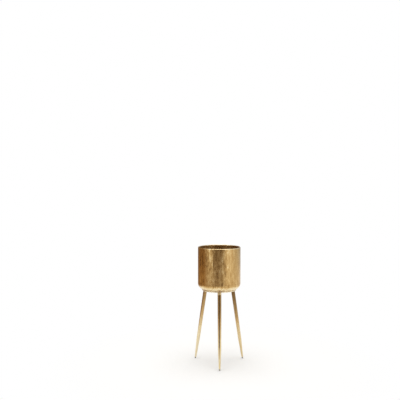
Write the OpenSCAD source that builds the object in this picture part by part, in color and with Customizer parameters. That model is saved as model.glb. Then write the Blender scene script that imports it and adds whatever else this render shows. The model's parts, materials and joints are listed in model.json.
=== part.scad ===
// Round brass planter: a deep sheet-metal pot with a rounded bottom edge, lifted off the floor by a
// ring stand on three splayed, tapered legs that screw into sockets under the ring.
// Millimetres, +Z up, floor at z = 0. The origin is the middle of the footprint's box on the floor,
// and the front leg points along -Y.

/* [Pot] */
// Outside diameter of the pot
pot_d = 250; // [200:1:320]
// Height of the pot, from its flat underside to the top of its rim
pot_h = 248; // [160:1:340]
// Outside radius of the rounded bottom edge
corner_r = 36; // [30:1:50]
// Thickness of the pot's sheet
sheet_t = 1.5; // [0.8:0.1:2.5]
// Height of the collar of the base that slips inside the wall
lap_h = 12; // [6:1:24]
// Diameter of the wire that the rim is rolled round
rim_wire_d = 3; // [2:0.1:6]
// Angle through which the sheet is rolled round the rim wire
rim_roll = 290; // [200:5:300]

/* [Stand] */
// Height of the pot's underside above the floor
seat_h = 436; // [300:1:600]
// Diameter of the ring, along the middle of its rod
ring_d = 194; // [186:1:220]
// Diameter of the ring's rod
rod_d = 7; // [6:0.5:12]
// Distance from the pot's axis to a leg's axis, level with the ring
leg_head_r = 93; // [86:0.5:100]
// Distance from the pot's axis to the middle of a foot, on the floor
foot_r = 164.5; // [130:0.5:200]

/* [Legs] */
// Diameter of a leg at its top, and of the socket that it meets
leg_top_d = 22; // [18:0.5:30]
// Diameter of a leg where the long taper turns into the steep one
leg_knee_d = 19.5; // [14:0.5:26]
// Diameter of a leg at its lower end
leg_tip_d = 9.5; // [8:0.5:13]
// Height of that turn above the floor
knee_h = 120; // [60:1:200]
// Wall thickness of the leg's tube
tube_t = 1.5; // [1:0.1:2.5]

/* [Screw joints] */
// Height of a socket
socket_h = 16; // [14:0.5:24]
// How far the ring's rod is let into a socket
saddle = 2.5; // [1:0.1:3.5]
// Diameter of the threaded stud
stud_d = 8; // [5:1:10]
// How far the stud reaches into a socket
stud_reach = 8; // [5:0.5:9]
// Room past the stud's end in the socket
stud_room = 1; // [0.5:0.1:2]
// Length of the threaded plug in the top of a leg
plug_h = 14; // [8:0.5:24]
// Broken edge where a leg meets its socket
edge = 0.6; // [0.2:0.1:1]

/* [Feet] */
// Height of a glide below the leg's tube
glide_h = 9; // [5:0.5:16]
// Diameter of a glide at the floor
sole_d = 9; // [7:0.5:14]
// Length of the glide's spigot inside the tube
spigot_h = 12; // [6:0.5:20]
// Room past the spigot's end in the straight part of the tube
spigot_room = 1; // [0.5:0.1:2]

/* [Fits] */
// Gap between the seated pot and the ring, square to both
seat_gap = 0.3; // [0.2:0.05:0.5]
// Gap filled by brazing alloy
braze_gap = 0.05; // [0.02:0.01:0.1]
// Radial gap at studs and spigots
fit_gap = 0.05; // [0.02:0.01:0.1]
// Gap between the rim wire and the sheet rolled round it
wire_gap = 0.3; // [0.1:0.05:0.5]

/* [Hidden] */
$fn = 96;
SIDES = ["front", "right", "left"];
SIDE_ANGLES = [-90, 30, 150];

brass_wall = "#a07c46";
brass_stand = "#8f7348";
brass_bright = "#b39764";
steel = "#8c8f92";
nylon = "#8f8e88";

pot_r = pot_d / 2;
flat_r = pot_r - corner_r;
shoulder_h = corner_r + 2 * sheet_t;
lap_r = pot_r - sheet_t - braze_gap;
bead_r = rim_wire_d / 2 + wire_gap + sheet_t;
bead_h = pot_h - bead_r;

ring_r = ring_d / 2;
rod_r = rod_d / 2;
seat_reach = corner_r + rod_r + seat_gap;
ring_h = seat_h + corner_r - sqrt(pow(seat_reach, 2) - pow(ring_r - flat_r, 2));

lean = atan((foot_r - leg_head_r) / ring_h);
axis_len = ring_h / cos(lean);
socket_top = axis_len - rod_r + saddle;
leg_top = socket_top - socket_h;
knee_s = knee_h / cos(lean);
bore_top_r = leg_top_d / 2 - tube_t;
bore_knee_r = leg_knee_d / 2 - tube_t;
bore_tip_r = leg_tip_d / 2 - tube_t;
stud_bore_r = stud_d / 2 + fit_gap;

// The pot's axis stands behind the origin, because the front foot reaches further than the pot's back
front_reach = foot_r + sole_d / 2 / cos(lean);
back_reach = max(pot_r, foot_r * cos(60) + sole_d / 2);
axis_y = (front_reach - back_reach) / 2;

// Places its children on the pot's axis
module on_axis(height = 0)
    translate([0, axis_y, height]) children();

// Places its children on a leg's axis, with z counted along the leg from the floor
module on_leg(angle)
    on_axis() rotate(angle) translate([foot_r, 0, 0]) rotate([0, -lean, 0]) children();

// Section of the rounded bottom edge, about its own centre
module corner_section()
    intersection() {
        difference() {
            circle(r = corner_r);
            circle(r = corner_r - sheet_t);
        }
        translate([0, -corner_r]) square(corner_r);
    }

// Section of the base's upper edge: a shoulder that carries the wall, and a collar set in behind it
module collar_section()
    polygon([
        [pot_r - sheet_t, corner_r],
        [pot_r, corner_r],
        [pot_r, shoulder_h],
        [lap_r, shoulder_h],
        [lap_r, shoulder_h + lap_h],
        [lap_r - sheet_t, shoulder_h + lap_h],
        [lap_r - sheet_t, corner_r + sheet_t]
    ]);

// Section of the sheet rolled round the rim wire, about the wire's centre
module roll_section() {
    reach = 3 * bead_r;
    open_angles = [rim_roll, (rim_roll + 360) / 2, 360];
    difference() {
        circle(r = bead_r);
        circle(r = bead_r - sheet_t);
        polygon(concat([[0, 0]], [for (a = open_angles) reach * [cos(a), sin(a)]]));
    }
}

// Dished base, with a flat underside and a set-in collar at the top
module pot_base()
    color(brass_wall) on_axis(seat_h) rotate_extrude() {
        square([flat_r, sheet_t]);
        translate([flat_r, corner_r]) corner_section();
        collar_section();
    }

// Rolled wall, standing on the base's shoulder, its top edge rolled inwards
module pot_wall()
    color(brass_wall) on_axis(seat_h) rotate_extrude() {
        translate([pot_r - sheet_t, shoulder_h]) square([sheet_t, bead_h - shoulder_h]);
        translate([pot_r - bead_r, bead_h]) roll_section();
    }

// Wire that stiffens the rim
module rim_wire()
    color(steel) on_axis(seat_h + bead_h) rotate_extrude() translate([pot_r - bead_r, 0]) circle(d = rim_wire_d);

// Round rod bent to a ring; a gap widens it for the saddle cut
module rod_ring(gap = 0)
    on_axis(ring_h) rotate_extrude() translate([ring_r, 0]) circle(r = rod_r + gap);

module stand_ring()
    color(brass_stand) rod_ring();

// Boss brazed under the ring, with a blind threaded hole for the stud
module socket(angle)
    color(brass_bright) difference() {
        on_leg(angle) rotate_extrude() polygon([
            [0, socket_top],
            [leg_top_d / 2, socket_top],
            [leg_top_d / 2, leg_top + edge],
            [leg_top_d / 2 - edge, leg_top],
            [stud_bore_r, leg_top],
            [stud_bore_r, leg_top + stud_reach + stud_room],
            [0, leg_top + stud_reach + stud_room]
        ]);
        rod_ring(braze_gap);
    }

// Threaded stud between a leg's plug and its socket
module stud(angle)
    color(steel) on_leg(angle) translate([0, 0, leg_top - plug_h]) cylinder(d = stud_d, h = plug_h + stud_reach);

// Tube with a long gentle taper down to the knee and a steep one below it
module leg(angle)
    color(brass_stand) on_leg(angle) rotate_extrude() polygon([
        [leg_tip_d / 2, glide_h],
        [leg_knee_d / 2, knee_s],
        [leg_top_d / 2, leg_top - edge],
        [leg_top_d / 2 - edge, leg_top],
        [bore_top_r, leg_top],
        [bore_top_r, leg_top - plug_h],
        [bore_knee_r, knee_s],
        [bore_tip_r, glide_h + spigot_h + spigot_room],
        [bore_tip_r, glide_h]
    ]);

// Threaded plug brazed into the top of a leg
module leg_plug(angle)
    color(steel) on_leg(angle) translate([0, 0, leg_top - plug_h]) difference() {
        cylinder(r = bore_top_r - braze_gap, h = plug_h);
        translate([0, 0, -1]) cylinder(r = stud_bore_r, h = plug_h + 2);
    }

// Glide pushed into the end of a leg, cut level with the floor
module foot_glide(angle)
    color(nylon) difference() {
        on_leg(angle) {
            translate([0, 0, -glide_h]) cylinder(d1 = 2 * sole_d - leg_tip_d, d2 = leg_tip_d, h = 2 * glide_h);
            translate([0, 0, glide_h]) cylinder(r = bore_tip_r - fit_gap, h = spigot_h);
        }
        on_axis() translate([-2 * foot_r, -2 * foot_r, -2 * glide_h]) cube([4 * foot_r, 4 * foot_r, 2 * glide_h]);
    }

pot_wall();
pot_base();
rim_wire();
stand_ring();
for (i = [0 : len(SIDES) - 1]) {
    socket(SIDE_ANGLES[i]);
    stud(SIDE_ANGLES[i]);
    leg(SIDE_ANGLES[i]);
    leg_plug(SIDE_ANGLES[i]);
    foot_glide(SIDE_ANGLES[i]);
}
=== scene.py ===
"""Antique brass planter on a three-legged ring stand: finishes, camera and studio light. Metres, +Z up."""
import json
import math

import bmesh
import bpy
from mathutils import Matrix, Vector, noise


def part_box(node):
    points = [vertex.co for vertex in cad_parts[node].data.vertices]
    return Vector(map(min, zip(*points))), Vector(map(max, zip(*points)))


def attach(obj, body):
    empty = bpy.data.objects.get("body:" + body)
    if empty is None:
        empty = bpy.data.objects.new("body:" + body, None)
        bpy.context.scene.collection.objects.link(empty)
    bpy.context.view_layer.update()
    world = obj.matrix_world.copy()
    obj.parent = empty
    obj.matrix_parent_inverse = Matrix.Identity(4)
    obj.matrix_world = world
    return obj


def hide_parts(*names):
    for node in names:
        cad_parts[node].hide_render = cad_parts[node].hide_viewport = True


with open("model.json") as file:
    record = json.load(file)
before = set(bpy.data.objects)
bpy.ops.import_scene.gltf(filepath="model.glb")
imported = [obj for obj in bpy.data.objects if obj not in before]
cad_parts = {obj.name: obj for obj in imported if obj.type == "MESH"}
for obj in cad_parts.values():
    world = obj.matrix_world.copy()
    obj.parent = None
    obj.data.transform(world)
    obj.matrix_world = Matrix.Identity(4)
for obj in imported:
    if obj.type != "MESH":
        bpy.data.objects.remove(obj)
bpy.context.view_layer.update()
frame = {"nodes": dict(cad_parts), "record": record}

MM = 0.001
MERGE = 0.001 * MM
SHARP_DEG = 35
SIDES = ("front", "right", "left")
UP = Vector((0, 0, 1))

# Pot, from the frame
wall_low, wall_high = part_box("pot_wall")
base_low, base_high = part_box("pot_base")
wire_low, wire_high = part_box("rim_wire")
AXIS = Vector((0, (base_low.y + base_high.y) / 2, 0))
POT_R = base_high.x
SEAT_Z = base_low.z
JOINT_Z = wall_low.z
COLLAR_Z = base_high.z
BEAD_Z = (wire_low.z + wire_high.z) / 2
BEAD_R = wall_high.z - BEAD_Z

# Pot, its own sizes
SHEET = 1.5 * MM
BRAZE_GAP = 0.05 * MM
ROLL_DEG = 290
BROKEN_EDGE = 0.4 * MM
CORNER_R = JOINT_Z - SEAT_Z - 2 * SHEET
POT_STEPS = 240
WALL_ROWS = 30
ARC_STEPS = 16
INWARD_LEAN = 0.3

# Hand-made waviness of the wall, and the dressed seam down its back
WAVE_DEPTH = 0.25 * MM
WAVE_W = 34 * MM
WAVE_H = 170 * MM
WAVE_FADE = 20 * MM
SEAM_DEPTH = 0.3 * MM
SEAM_W = 5 * MM

# Stand, from the frame
ring_low, ring_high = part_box("stand_ring")
RING_Z = (ring_low.z + ring_high.z) / 2
ROD_R = (ring_high.z - ring_low.z) / 2
RING_R = ring_high.x - ROD_R
FEET = {mount["name"].removesuffix("_foot"): Vector(mount["pos_m"])
        for mount in frame["record"]["mounts"] if mount["name"].endswith("_foot")}
FOOT_R = (FEET["front"] - AXIS).length

# Stand, its own sizes
HEAD_R = 93 * MM
SOCKET_H = 16 * MM
SADDLE = 2.5 * MM
LEG_TOP_R = 11 * MM
LEG_KNEE_R = 9.75 * MM
LEG_TIP_R = 4.75 * MM
LEG_EDGE = 0.6 * MM
LEG_STEPS = 48
KNEE_Z = 120 * MM
KNEE_BLEND = 14 * MM
KNEE_STEPS = 8
TUBE = 1.5 * MM
PLUG_H = 14 * MM
GLIDE_H = 9 * MM
LIP_H = 0.8 * MM
LIP_FOOT = 1.4 * MM
LIP_OUT = 0.3 * MM
SOLE_R = 4.5 * MM
SOLE_EDGE = 0.8 * MM
SPIGOT_H = 12 * MM
SPIGOT_ROOM = 1 * MM
FIT_GAP = 0.05 * MM
SPLAY = (FOOT_R - HEAD_R) / RING_Z
LEG_LEN = math.hypot(RING_Z, FOOT_R - HEAD_R)
SOCKET_TOP = LEG_LEN - ROD_R + SADDLE
LEG_TOP = SOCKET_TOP - SOCKET_H
KNEE = KNEE_Z * LEG_LEN / RING_Z

# Brazing beads: their thickness, and how far and how late they thin out towards their ends
BRAZE_R = 1.1 * MM
BRAZE_SIDES = 10
BRAZE_STEPS = 16
BRAZE_TAPER = 0.97
BRAZE_POWER = 5

# Photograph's view: the camera stands in front, a touch to the left, and above the rim
CAMERA_AWAY = 3.525
CAMERA_HIGH = 1.0732
CAMERA_ROUND_DEG = 1.01
CAMERA_DOWN_DEG = 1.852
CAMERA_LEFT_DEG = 1.838
LENS_MM = 54.115
SENSOR_MM = 36

# Patina that all the brass shares: its clouds, flecks and brushing as (width, height), how broken they are,
# their relief, and where the four tones lie. The brushing is drawn coarser than it is, so that it shows.
CLOUD_MM = (70, 110)
FLECK_MM = (4, 8)
BRUSH_MM = (1.8, 90)
BROKENNESS = 0.58
RELIEF_DEPTH = 0.3 * MM
RELIEF_STRENGTH = 0.3
TONE_STOPS = (0.0, 0.22, 0.5, 0.85)

# Rubbing of the pot below the rim wire; rubbing with a painted highlight below the wall's joint; and how far
# below the ring the painted shade at the top of the legs is full
RIM_RUB = 4 * MM
EDGE_RUB_AND_HIGHLIGHT_START = 10 * MM
EDGE_RUB_AND_HIGHLIGHT_END = 22 * MM
LEG_SHADE_BELOW = 60 * MM

# Spangle of the steel and grain of the nylon
SPANGLE = 3 * MM
GRAIN = 0.5 * MM
GRAIN_DEPTH = 0.05 * MM

# Studio floor and light
FLOOR_R = 6.0
PAPER_WHITE = "#f4f3f1"
PAPER_NEAR = 0.25
PAPER_FAR = 1.0
WORLD_FILL = 0.86
OVERHEAD_W = 20
OVERHEAD_SIZE = 1.6
OVERHEAD_Z = 2.4

# Surroundings that the brass reflects. Each turn lists colours by the angle from the front leg towards +X,
# and a radial gradient reaches the front leg after a quarter of its own turn.
WHITE = "#ffffff"
LOW_BROWN = "#8b6539"
LOW_GREY = "#b0a9a6"
LOW_PALE = "#d6d6d6"
LOW_DULL = "#bebebe"
BROWN_CLOTH = "#9a8266"
DARK_CLOTH = "#5a4632"
BARE_FLOOR = "#c6c0bd"
BROWN_FLOOR = "#b4946a"
LOW_TURN = (
    (-84, LOW_BROWN), (-64, WHITE), (-42, WHITE), (-16, LOW_GREY), (4, LOW_GREY), (28, WHITE),
    (54, WHITE), (90, LOW_PALE), (140, LOW_DULL), (174, LOW_DULL), (190, LOW_BROWN))
LOW_LIT = 1.3
HIGH_TURN = (
    (-84, BROWN_CLOTH), (-66, WHITE), (-46, WHITE), (-22, DARK_CLOTH), (18, DARK_CLOTH), (38, WHITE),
    (66, WHITE), (104, LOW_PALE), (140, LOW_DULL), (172, LOW_DULL), (192, BROWN_CLOTH))
FLOOR_TURN = (
    (-90, BROWN_FLOOR), (-46, BARE_FLOOR), (0, BARE_FLOOR), (40, WHITE), (170, WHITE), (196, BROWN_FLOOR))
BARE_FLOOR_NEAR = 0.9
BARE_FLOOR_FAR = 1.7
BARE_FLOOR_Z = 2 * MM
SCREEN_R = 4.0
SCREEN_SPLIT_Z = 0.14
SCREEN_TOP_Z = 4.0
SCREEN_STEPS = 64
FRONT_TURN = 0.25


def linear(code):
    """Linear RGBA of an sRGB hex colour."""
    channels = [int(code[i:i + 2], 16) / 255 for i in (1, 3, 5)]
    return [c / 12.92 if c <= 0.04045 else ((c + 0.055) / 1.055) ** 2.4 for c in channels] + [1]


def add(tree, kind, inputs=None, stops=None, **settings):
    """Adds a node, with its settings, its inputs set or linked, and its ramp's stops."""
    made = tree.nodes.new(kind)
    for setting, value in settings.items():
        setattr(made, setting, value)
    for key, value in (inputs or {}).items():
        if isinstance(value, bpy.types.NodeSocket):
            tree.links.new(value, made.inputs[key])
        else:
            made.inputs[key].default_value = value
    for i, (position, colour) in enumerate(stops or ()):
        elements = made.color_ramp.elements
        stop = elements[i] if i < 2 else elements.new(position)
        stop.position = position
        stop.color = colour
    return made


def start_material(name):
    """A new material, its emptied node tree, and its output node."""
    material = bpy.data.materials.new(name)
    material.use_nodes = True
    tree = material.node_tree
    tree.nodes.clear()
    return material, tree, add(tree, "ShaderNodeOutputMaterial")


def stood_upright(tree, centred, splay):
    """Coordinates in which splayed legs stand upright, so that a pattern runs along them."""
    height = add(tree, "ShaderNodeSeparateXYZ", {0: centred}).outputs["Z"]
    flat = add(tree, "ShaderNodeVectorMath", {0: centred, 1: (1, 1, 0)}, operation="MULTIPLY")
    away = add(tree, "ShaderNodeVectorMath", {0: flat.outputs[0]}, operation="LENGTH")
    slope = add(tree, "ShaderNodeMath", {0: height, 1: away.outputs["Value"]}, operation="DIVIDE")
    stretch = add(tree, "ShaderNodeMath", {0: slope.outputs[0], 1: splay, 2: 1}, operation="MULTIPLY_ADD")
    outward = add(tree, "ShaderNodeVectorMath", {0: flat.outputs[0], "Scale": stretch.outputs[0]},
                  operation="SCALE")
    return add(tree, "ShaderNodeVectorMath", {0: centred, 1: (0, 0, 1), 2: outward.outputs[0]},
               operation="MULTIPLY_ADD").outputs[0]


# Antique brass: sheet and tube darkened with a brushed-on patina and rubbed back by hand. The eye sees gold
# with fine upright brushing, soft runs, and brown mottling that gathers into clouds. Tones and roughness go
# from rubbed bright to the thickest patina. Calm is an axis with a start, an end and the share of the
# mottling left past the end. A drift is an axis with a start, an end and the patina that is laid on past
# the end, or rubbed off where it is negative. A layer is a size, a level of detail and a strength.
def antique_brass(name, tones, run_mm, mottle_mm, rough, mean, contrast=1.0, calm=None, drifts=(),
                  splay=0.0, turn_deg=0):
    material, tree, out = start_material(name)
    place = add(tree, "ShaderNodeTexCoord").outputs["Object"]
    centred = add(tree, "ShaderNodeMapping", {"Vector": place, "Location": -AXIS}).outputs[0]
    sides = dict(zip("XYZ", add(tree, "ShaderNodeSeparateXYZ", {0: centred}).outputs))
    upright = stood_upright(tree, centred, splay) if splay else centred
    spot = add(tree, "ShaderNodeMapping", {
        "Vector": upright, "Rotation": (0, 0, math.radians(turn_deg))}).outputs[0]
    layers = (
        (mottle_mm, 3, 1.3),
        (FLECK_MM, 4, 0.55),
        (run_mm, 2, 0.7),
        (CLOUD_MM, 2, 0.5),
        (BRUSH_MM, 2, 0.3),
    )
    pattern = 0.0
    for (wide, tall), detail, strength in layers:
        drawn = add(tree, "ShaderNodeMapping", {"Vector": spot, "Scale": (1, 1, wide / tall)})
        layer = add(tree, "ShaderNodeTexNoise", {
            "Vector": drawn.outputs[0], "Scale": 1 / (wide * MM), "Detail": detail,
            "Roughness": BROKENNESS})
        reach = contrast * strength / 2
        signed = add(tree, "ShaderNodeMapRange", {
            "Value": layer.outputs["Fac"], "To Min": -reach, "To Max": reach})
        pattern = add(tree, "ShaderNodeMath", {
            0: signed.outputs["Result"], 1: pattern}, operation="ADD").outputs[0]
    relief = add(tree, "ShaderNodeBump", {
        "Height": pattern, "Strength": RELIEF_STRENGTH, "Distance": RELIEF_DEPTH})
    if calm:
        axis, start, end, left = calm
        kept = add(tree, "ShaderNodeMapRange", {
            "Value": sides[axis], "From Min": start, "From Max": end, "To Min": 1, "To Max": left},
            interpolation_type="SMOOTHSTEP")
        pattern = add(tree, "ShaderNodeMath", {
            0: pattern, 1: kept.outputs["Result"]}, operation="MULTIPLY").outputs[0]
    patina = add(tree, "ShaderNodeMath", {0: pattern, 1: mean}, operation="ADD").outputs[0]
    for axis, start, end, change in drifts:
        more = add(tree, "ShaderNodeMapRange", {
            "Value": sides[axis], "From Min": start, "From Max": end, "To Min": 0, "To Max": change},
            interpolation_type="SMOOTHSTEP")
        patina = add(tree, "ShaderNodeMath", {
            0: patina, 1: more.outputs["Result"]}, operation="ADD").outputs[0]
    colour = add(tree, "ShaderNodeValToRGB", {"Fac": patina}, stops=[
        (stop, linear(tone)) for stop, tone in zip(TONE_STOPS, tones)])
    dulled = add(tree, "ShaderNodeMapRange", {
        "Value": patina, "From Min": TONE_STOPS[0], "From Max": TONE_STOPS[-1],
        "To Min": rough[0], "To Max": rough[1]})
    shader = add(tree, "ShaderNodeBsdfPrincipled", {
        "Base Color": colour.outputs["Color"], "Metallic": 1, "Roughness": dulled.outputs["Result"],
        "Normal": relief.outputs["Normal"]})
    tree.links.new(shader.outputs["BSDF"], out.inputs["Surface"])
    return material


# Zinc-plated steel: drawn rod and wire with a dull grey spangle.
def zinc_steel():
    material, tree, out = start_material("zinc_plated_steel")
    place = add(tree, "ShaderNodeTexCoord").outputs["Object"]
    spangle = add(tree, "ShaderNodeTexNoise", {"Vector": place, "Scale": 1 / SPANGLE, "Detail": 3})
    tone = add(tree, "ShaderNodeValToRGB", {"Fac": spangle.outputs["Fac"]}, stops=[
        (0.35, linear("#8d9093")), (0.65, linear("#b9bcbe"))])
    dulled = add(tree, "ShaderNodeMapRange", {
        "Value": spangle.outputs["Fac"], "To Min": 0.28, "To Max": 0.5})
    shader = add(tree, "ShaderNodeBsdfPrincipled", {
        "Base Color": tone.outputs["Color"], "Metallic": 1, "Roughness": dulled.outputs["Result"]})
    tree.links.new(shader.outputs["BSDF"], out.inputs["Surface"])
    return material


# Moulded grey nylon: matt, with a moulded grain, drawn coarser than it is so that it shows, and paler scuffs
# towards the floor.
def grey_nylon():
    material, tree, out = start_material("moulded_nylon")
    place = add(tree, "ShaderNodeTexCoord").outputs["Object"]
    height = add(tree, "ShaderNodeSeparateXYZ", {0: place}).outputs["Z"]
    grain = add(tree, "ShaderNodeTexNoise", {"Vector": place, "Scale": 1 / GRAIN, "Detail": 3})
    scuffs = add(tree, "ShaderNodeMapRange", {
        "Value": height, "From Min": GLIDE_H / 2, "From Max": 0, "To Min": 0, "To Max": 0.2})
    worn = add(tree, "ShaderNodeMath", {
        0: grain.outputs["Fac"], 1: scuffs.outputs["Result"]}, operation="ADD")
    tone = add(tree, "ShaderNodeValToRGB", {"Fac": worn.outputs[0]}, stops=[
        (0.3, linear("#908e87")), (0.75, linear("#b4b2aa"))])
    relief = add(tree, "ShaderNodeBump", {
        "Height": grain.outputs["Fac"], "Strength": 0.3, "Distance": GRAIN_DEPTH})
    shader = add(tree, "ShaderNodeBsdfPrincipled", {
        "Base Color": tone.outputs["Color"], "Roughness": 0.5, "IOR": 1.53,
        "Normal": relief.outputs["Normal"]})
    tree.links.new(shader.outputs["BSDF"], out.inputs["Surface"])
    return material


# Outside of the pot: patchy, calmer on the right, and rubbed bright along the rim. It is darker on the left
# and in the middle, partly patina and partly painted shade, and paler along the rounded bottom edge, partly
# wear and partly a painted highlight.
pot_brass = antique_brass(
    "antique_brass", ("#ecd8ac", "#d6b47a", "#ba935a", "#6b4d2d"), run_mm=(10, 150), mottle_mm=(14, 36),
    rough=(0.14, 0.36), mean=0.36, turn_deg=136,
    drifts=(
        # Darker on the left and in the middle: partly patina, partly painted shade.
        ("X", 0.45 * POT_R, 0.05 * POT_R, 0.11),
        ("Z", BEAD_Z - RIM_RUB, BEAD_Z, -0.3),
        # Paler round the bottom edge and underside: partly rubbed wear, partly a painted highlight.
        ("Z", JOINT_Z - EDGE_RUB_AND_HIGHLIGHT_START, JOINT_Z - EDGE_RUB_AND_HIGHLIGHT_END, -0.45),
    ),
    calm=("X", 0.2 * POT_R, 0.6 * POT_R, 0.5))

# Inside of the pot: duller and more even, because it was never rubbed back.
inside_brass = antique_brass(
    "inside_brass", ("#dcc08c", "#c8a46a", "#a9824e", "#6a4c2c"), run_mm=(30, 60), mottle_mm=(22, 30),
    rough=(0.38, 0.6), mean=0.42, contrast=0.6)

# Legs: polished to a gloss, with a thin, even patina. Painted shade darkens them towards the top and, a
# little, to the right.
stand_brass = antique_brass(
    "stand_brass", ("#efe3c6", "#e2cda0", "#c2a06c", "#664a2a"), run_mm=(6, 90), mottle_mm=(7, 34),
    rough=(0.05, 0.3), mean=0.12, contrast=0.26, splay=SPLAY,
    # Painted shade: darker towards the top, and a little to the right.
    drifts=(("Z", KNEE_Z, RING_Z - LEG_SHADE_BELOW, 0.48), ("X", -HEAD_R, HEAD_R, 0.14)))

# Ring: pale drawn rod with a satin sheen and hardly any patina.
ring_brass = antique_brass(
    "ring_brass", ("#f4ead2", "#ecdcb8", "#d2b686", "#8f7046"), run_mm=(6, 20), mottle_mm=(5, 8),
    rough=(0.3, 0.45), mean=0.12, contrast=0.4)

# Sockets: paler and duller than the legs that they hold.
socket_brass = antique_brass(
    "socket_brass", ("#f0e2c2", "#e4d0a6", "#c9ab7a", "#8f7046"), run_mm=(6, 20), mottle_mm=(5, 8),
    rough=(0.42, 0.56), mean=0.34, contrast=0.5, splay=SPLAY)

# Brazing alloy: a yellow, finely mottled bead with a soft sheen.
braze_brass = antique_brass(
    "brazing_alloy", ("#f6e6bf", "#e3c68c", "#c69f60", "#8f6a3c"), run_mm=(5, 5), mottle_mm=(3, 3),
    rough=(0.25, 0.42), mean=0.35, contrast=0.6)

steel = zinc_steel()
nylon = grey_nylon()


def arc(centre, radius, start_deg, end_deg, steps=ARC_STEPS):
    """Points of an arc in a section, as (distance from the axis, height)."""
    angles = [math.radians(start_deg + (end_deg - start_deg) * i / steps) for i in range(steps + 1)]
    return [(centre[0] + radius * math.cos(a), centre[1] + radius * math.sin(a)) for a in angles]


def line(start, end, steps):
    """Points from start towards end, without the end itself."""
    return [tuple(a + (b - a) * i / steps for a, b in zip(start, end)) for i in range(steps)]


def blended(start, turn, end, steps):
    """Points of a soft turn, from start to end, round a corner."""
    points = []
    for i in range(steps + 1):
        t = i / steps
        points.append(tuple((1 - t) ** 2 * a + 2 * t * (1 - t) * b + t * t * c
                            for a, b, c in zip(start, turn, end)))
    return points


def put(name, form, finishes):
    """Object at the origin, made from a bmesh, smooth and with its materials."""
    bmesh.ops.remove_doubles(form, verts=form.verts, dist=MERGE)
    bmesh.ops.recalc_face_normals(form, faces=form.faces)
    mesh = bpy.data.meshes.new(name)
    form.to_mesh(mesh)
    form.free()
    for finish in finishes:
        mesh.materials.append(finish)
    mesh.shade_smooth()
    mesh.set_sharp_from_angle(angle=math.radians(SHARP_DEG))
    piece = bpy.data.objects.new(name, mesh)
    bpy.context.scene.collection.objects.link(piece)
    return piece


def spun(section, foot, along, steps):
    """Section turned round an axis, from points of (distance from the axis, height along it).

    The section is closed, unless its ends meet the axis.
    """
    form = bmesh.new()
    outward = along.orthogonal().normalized()
    corners = [(form.verts.new(foot + outward * r + along * s), r) for r, s in section]
    for (a, a_away), (b, b_away) in zip(corners, corners[1:] + corners[:1]):
        if a_away or b_away:
            form.edges.new((a, b))
    bmesh.ops.spin(form, geom=form.verts[:] + form.edges[:], cent=foot, axis=along,
                   angle=math.tau, steps=steps, use_merge=True)
    bmesh.ops.remove_doubles(form, verts=form.verts, dist=MERGE)
    return form


# Pot wall: rolled sheet, its top edge turned inwards round the wire
def wall_section():
    centre = (POT_R - BEAD_R, BEAD_Z)
    outer_foot = (POT_R, JOINT_Z + BROKEN_EDGE)
    inner_foot = (POT_R - SHEET, JOINT_Z)
    return (
        [inner_foot, (POT_R - BROKEN_EDGE, JOINT_Z)]
        + line(outer_foot, (POT_R, BEAD_Z), WALL_ROWS)
        + arc(centre, BEAD_R, 0, ROLL_DEG, 2 * ARC_STEPS)
        + arc(centre, BEAD_R - SHEET, ROLL_DEG, 0, 2 * ARC_STEPS)
        + line((POT_R - SHEET, BEAD_Z), inner_foot, WALL_ROWS)[1:]
    )


def hand_shaped(form):
    """Gives the wall its slight waviness and a dressed seam down the back."""
    for vertex in form.verts:
        away = vertex.co - AXIS
        outward = Vector((away.x, away.y, 0)).normalized()
        fade = max(0, min(1, (away.z - JOINT_Z) / WAVE_FADE, (BEAD_Z - away.z) / WAVE_FADE))
        wave = noise.noise(Vector((away.x / WAVE_W, away.y / WAVE_W, away.z / WAVE_H)))
        seam = math.exp(-(away.x / SEAM_W) ** 2) if away.y > 0 else 0
        vertex.co += outward * fade * (WAVE_DEPTH * wave + SEAM_DEPTH * seam)


# Pot base: flat underside, rounded edge, and a collar set in behind the wall
def base_section():
    centre = (POT_R - CORNER_R, SEAT_Z + CORNER_R)
    lap_r = POT_R - SHEET - BRAZE_GAP
    return (
        [(0, SEAT_Z)]
        + arc(centre, CORNER_R, -90, 0)
        + [(POT_R, JOINT_Z - BROKEN_EDGE), (POT_R - BROKEN_EDGE, JOINT_Z)]
        + [(lap_r, JOINT_Z), (lap_r, COLLAR_Z), (lap_r - SHEET, COLLAR_Z)]
        + [(lap_r - SHEET, centre[1] + SHEET)]
        + arc(centre, CORNER_R - SHEET, 0, -90)
        + [(0, SEAT_Z + SHEET)]
    )


def finish_inside(piece):
    """Gives the faces below the rim that look inwards or up the second material."""
    for face in piece.data.polygons:
        outward = ((face.center - AXIS) * Vector((1, 1, 0))).normalized()
        inner = face.normal.dot(outward) < -INWARD_LEAN or face.normal.z > INWARD_LEAN
        face.material_index = int(inner and face.center.z < BEAD_Z)


# Leg: tapered tube with a soft knee
def leg_section():
    bore_tip = LEG_TIP_R - TUBE
    bore_top = LEG_TOP_R - TUBE
    slope_low = (LEG_KNEE_R - LEG_TIP_R) / (KNEE - GLIDE_H)
    slope_high = (LEG_TOP_R - LEG_KNEE_R) / (LEG_TOP - LEG_EDGE - KNEE)
    below_knee = (LEG_KNEE_R - slope_low * KNEE_BLEND, KNEE - KNEE_BLEND)
    above_knee = (LEG_KNEE_R + slope_high * KNEE_BLEND, KNEE + KNEE_BLEND)
    return (
        [(bore_tip, GLIDE_H), (LEG_TIP_R, GLIDE_H)]
        + blended(below_knee, (LEG_KNEE_R, KNEE), above_knee, KNEE_STEPS)
        + [(LEG_TOP_R, LEG_TOP - LEG_EDGE), (LEG_TOP_R - LEG_EDGE, LEG_TOP), (bore_top, LEG_TOP)]
        + [(bore_top, LEG_TOP - PLUG_H), (LEG_KNEE_R - TUBE, KNEE)]
        + [(bore_tip, GLIDE_H + SPIGOT_H + SPIGOT_ROOM)]
    )


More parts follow.
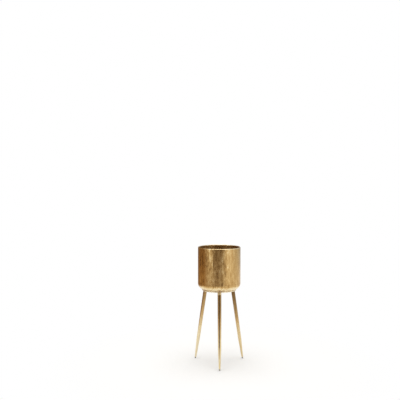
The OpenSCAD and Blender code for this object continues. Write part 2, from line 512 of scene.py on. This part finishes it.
# Glide: moulded foot with a lip at its top, on a spigot inside the leg; it starts below the floor
def glide_section():
    spigot_r = LEG_TIP_R - TUBE - FIT_GAP
    below = 2 * SOLE_EDGE
    return (
        [(0, -below), (SOLE_R, -below)]
        + [(LEG_TIP_R - LIP_OUT, GLIDE_H - LIP_FOOT), (LEG_TIP_R, GLIDE_H - LIP_H)]
        + [(LEG_TIP_R, GLIDE_H), (spigot_r, GLIDE_H), (spigot_r, GLIDE_H + SPIGOT_H - SOLE_EDGE)]
        + [(spigot_r - SOLE_EDGE, GLIDE_H + SPIGOT_H), (0, GLIDE_H + SPIGOT_H)]
    )


def level_with_floor(form):
    """Cuts a glide off at the floor, closes it and breaks the sole's edge."""
    cut = bmesh.ops.bisect_plane(form, geom=form.verts[:] + form.edges[:] + form.faces[:],
                                 plane_co=(0, 0, 0), plane_no=UP, clear_inner=True)
    rim = [e for e in cut["geom_cut"] if isinstance(e, bmesh.types.BMEdge)]
    bmesh.ops.edgeloop_fill(form, edges=rim)
    bmesh.ops.bevel(form, geom=rim, offset=SOLE_EDGE / 2, affect="EDGES", segments=2, profile=0.5,
                    material=-1)


# Brazing: a bead on each side of the rod where the ring lies in a socket's saddle, thinner at its ends
def braze_beads(side_angle):
    form = bmesh.new()
    rod_above = ROD_R - SADDLE
    chord = math.sqrt(ROD_R ** 2 - rod_above ** 2)
    for edge in (-1, 1):
        bead_r = RING_R + edge * chord
        bead_z = RING_Z - rod_above + edge * chord * SPLAY
        half = math.asin(math.sqrt(LEG_TOP_R ** 2 - (bead_r - HEAD_R) ** 2) / bead_r)
        earlier = set(form.verts)
        ring = bmesh.ops.create_circle(form, cap_ends=True, segments=BRAZE_SIDES, radius=BRAZE_R)["verts"]
        cap = list({face for vertex in ring for face in vertex.link_faces})
        bmesh.ops.rotate(form, verts=ring, cent=(0, 0, 0), matrix=Matrix.Rotation(math.pi / 2, 3, "X"))
        bmesh.ops.translate(form, verts=ring, vec=AXIS + Vector((bead_r, 0, bead_z)))
        bmesh.ops.rotate(form, verts=ring, cent=AXIS, matrix=Matrix.Rotation(-half, 3, "Z"))
        bmesh.ops.spin(form, geom=ring + cap, cent=AXIS, axis=UP, angle=2 * half, steps=BRAZE_STEPS)
        for vertex in set(form.verts) - earlier:
            away = vertex.co - AXIS
            angle = math.atan2(away.y, away.x)
            middle = AXIS + Vector((bead_r * math.cos(angle), bead_r * math.sin(angle), bead_z))
            width = math.sqrt(1 - BRAZE_TAPER * abs(angle / half) ** BRAZE_POWER)
            vertex.co = middle.lerp(vertex.co, width)
    bmesh.ops.rotate(form, verts=form.verts, cent=AXIS, matrix=Matrix.Rotation(side_angle, 3, "Z"))
    return form


def make_pot():
    """Wall and base, which move with the pot."""
    wall = spun(wall_section(), AXIS, UP, POT_STEPS)
    hand_shaped(wall)
    base = spun(base_section(), AXIS, UP, POT_STEPS)
    for name, form, node in (("brass_wall", wall, "pot_wall"), ("brass_base", base, "pot_base")):
        piece = put(name, form, (pot_brass, inside_brass))
        finish_inside(piece)
        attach(piece, "pot")
        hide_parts(node)


def make_leg(side):
    """Leg of one side, with its glide and the brazing of its socket, which belong to the stand."""
    foot = FEET[side]
    outward = (foot - AXIS).normalized()
    along = (AXIS + outward * HEAD_R + UP * RING_Z - foot).normalized()
    leg = spun(leg_section(), foot, along, LEG_STEPS)
    glide = spun(glide_section(), foot, along, LEG_STEPS)
    level_with_floor(glide)
    beads = braze_beads(math.atan2(outward.y, outward.x))
    made = (
        (put("brass_leg_" + side, leg, [stand_brass]), "leg_" + side, "stand_brass"),
        (put("glide_" + side, glide, [nylon]), "foot_glide_" + side, "nylon"),
        (put("brazing_" + side, beads, [braze_brass]), None, "socket_brass"),
    )
    for piece, node, slot in made:
        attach(piece, "stand")
        if node:
            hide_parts(node)


def finish_nodes():
    """Gives the nodes that keep their own shape their materials."""
    node_finishes = {"stand_ring": ring_brass, "rim_wire": steel}
    for side in SIDES:
        node_finishes["socket_" + side] = socket_brass
        node_finishes["stud_" + side] = steel
        node_finishes["leg_plug_" + side] = steel
    for node, finish in node_finishes.items():
        frame["nodes"][node].material_slots[0].material = finish


make_pot()
for leg_side in SIDES:
    make_leg(leg_side)
finish_nodes()


# Studio floor: white paper near the object, running into a white background
def white_paper():
    material, tree, out = start_material("white_paper")
    place = add(tree, "ShaderNodeTexCoord").outputs["Object"]
    away = add(tree, "ShaderNodeVectorMath", {0: place}, operation="LENGTH")
    fade = add(tree, "ShaderNodeMapRange", {
        "Value": away.outputs["Value"], "From Min": PAPER_NEAR, "From Max": PAPER_FAR})
    matt = add(tree, "ShaderNodeBsdfDiffuse", {"Color": linear(PAPER_WHITE)})
    white = add(tree, "ShaderNodeEmission", {"Color": linear(WHITE), "Strength": 1})
    mixed = add(tree, "ShaderNodeMixShader", {
        0: fade.outputs["Result"], 1: matt.outputs[0], 2: white.outputs[0]})
    tree.links.new(mixed.outputs[0], out.inputs["Surface"])
    return material


# Studio surroundings: cloths and bare floor round the object, with white between them and soft edges. Only
# reflections see them. They fade in with the distance from the axis, from near to near_to.
def surroundings(name, turn, strength=1, near=0, near_to=1 * MM):
    material, tree, out = start_material(name)
    place = add(tree, "ShaderNodeTexCoord").outputs["Object"]
    centred = add(tree, "ShaderNodeMapping", {"Vector": place, "Location": -AXIS})
    angle = add(tree, "ShaderNodeTexGradient", {"Vector": centred.outputs[0]}, gradient_type="RADIAL")
    shade = add(tree, "ShaderNodeValToRGB", {"Fac": angle.outputs["Fac"]}, stops=[
        (FRONT_TURN + degrees / 360, linear(colour)) for degrees, colour in turn])
    shade.color_ramp.interpolation = "EASE"
    lit = add(tree, "ShaderNodeEmission", {"Color": shade.outputs["Color"], "Strength": strength})
    away = add(tree, "ShaderNodeVectorMath", {0: centred.outputs[0]}, operation="LENGTH")
    shown = add(tree, "ShaderNodeMapRange", {
        "Value": away.outputs["Value"], "From Min": near, "From Max": near_to},
        interpolation_type="SMOOTHSTEP")
    clear = add(tree, "ShaderNodeBsdfTransparent")
    mixed = add(tree, "ShaderNodeMixShader", {
        0: shown.outputs["Result"], 1: clear.outputs[0], 2: lit.outputs[0]})
    tree.links.new(mixed.outputs[0], out.inputs["Surface"])
    return material


def staged(name, form, finish, seen=False):
    """Part of the studio, which only reflections see unless it is the floor."""
    mesh = bpy.data.meshes.new(name)
    form.to_mesh(mesh)
    form.free()
    mesh.materials.append(finish)
    sheet = bpy.data.objects.new(name, mesh)
    bpy.context.scene.collection.objects.link(sheet)
    sheet.visible_camera = seen
    sheet.visible_diffuse = seen
    sheet.visible_shadow = seen


def turned(name, near, far, finish):
    """Ring from near to far, each (distance from the axis, height), round the object."""
    form = bmesh.new()
    ends = [form.verts.new(AXIS + Vector((0, -r, z))) for r, z in (near, far)]
    form.edges.new(ends)
    bmesh.ops.spin(form, geom=form.verts[:] + form.edges[:], cent=AXIS, axis=UP,
                   angle=math.tau, steps=SCREEN_STEPS, use_merge=True)
    staged(name, form, finish)


floor_form = bmesh.new()
bmesh.ops.create_circle(floor_form, cap_ends=True, segments=SCREEN_STEPS, radius=FLOOR_R)
staged("studio_floor", floor_form, white_paper(), seen=True)
turned("bare_floor", (BARE_FLOOR_NEAR, BARE_FLOOR_Z), (SCREEN_R, BARE_FLOOR_Z),
       surroundings("bare_floor", FLOOR_TURN, 1, BARE_FLOOR_NEAR, BARE_FLOOR_FAR))
turned("low_screen", (SCREEN_R, 0), (SCREEN_R, SCREEN_SPLIT_Z),
       surroundings("low_screen", LOW_TURN, LOW_LIT))
turned("high_screen", (SCREEN_R, SCREEN_SPLIT_Z), (SCREEN_R, SCREEN_TOP_Z),
       surroundings("high_screen", HIGH_TURN))

# Softbox overhead
softbox = bpy.data.lights.new("softbox", "AREA")
softbox.size = OVERHEAD_SIZE
softbox.energy = OVERHEAD_W
hung = bpy.data.objects.new("softbox", softbox)
hung.location = AXIS + UP * OVERHEAD_Z
hung.visible_camera = False
bpy.context.scene.collection.objects.link(hung)

# World: white to the camera and in reflections, lower as light
world = bpy.data.worlds.new("studio")
bpy.context.scene.world = world
world.use_nodes = True
sky = world.node_tree
sky.nodes.clear()
path = add(sky, "ShaderNodeLightPath")
mirrored = add(sky, "ShaderNodeMath", {
    0: path.outputs["Is Glossy Ray"], 1: path.outputs["Is Transmission Ray"]}, operation="MAXIMUM")
looked_at = add(sky, "ShaderNodeMath", {
    0: path.outputs["Is Camera Ray"], 1: mirrored.outputs[0]}, operation="MAXIMUM")
brightness = add(sky, "ShaderNodeMapRange", {
    "Value": looked_at.outputs[0], "To Min": WORLD_FILL, "To Max": 1})
backdrop = add(sky, "ShaderNodeBackground", {
    "Color": linear(WHITE), "Strength": brightness.outputs["Result"]})
add(sky, "ShaderNodeOutputWorld", {"Surface": backdrop.outputs[0]})

# Camera, at the photograph's viewing angle
eye = bpy.data.cameras.new("camera")
eye.lens = LENS_MM
eye.sensor_width = SENSOR_MM
eye.sensor_fit = "HORIZONTAL"
camera = bpy.data.objects.new("camera", eye)
round_turn = math.radians(CAMERA_ROUND_DEG)
camera.location = AXIS + Vector(
    (-CAMERA_AWAY * math.sin(round_turn), -CAMERA_AWAY * math.cos(round_turn), CAMERA_HIGH))
camera.rotation_euler = (
    math.radians(90 - CAMERA_DOWN_DEG), 0, math.radians(CAMERA_LEFT_DEG - CAMERA_ROUND_DEG))
bpy.context.scene.collection.objects.link(camera)
bpy.context.scene.camera = camera
bpy.context.scene.view_settings.view_transform = "Standard"
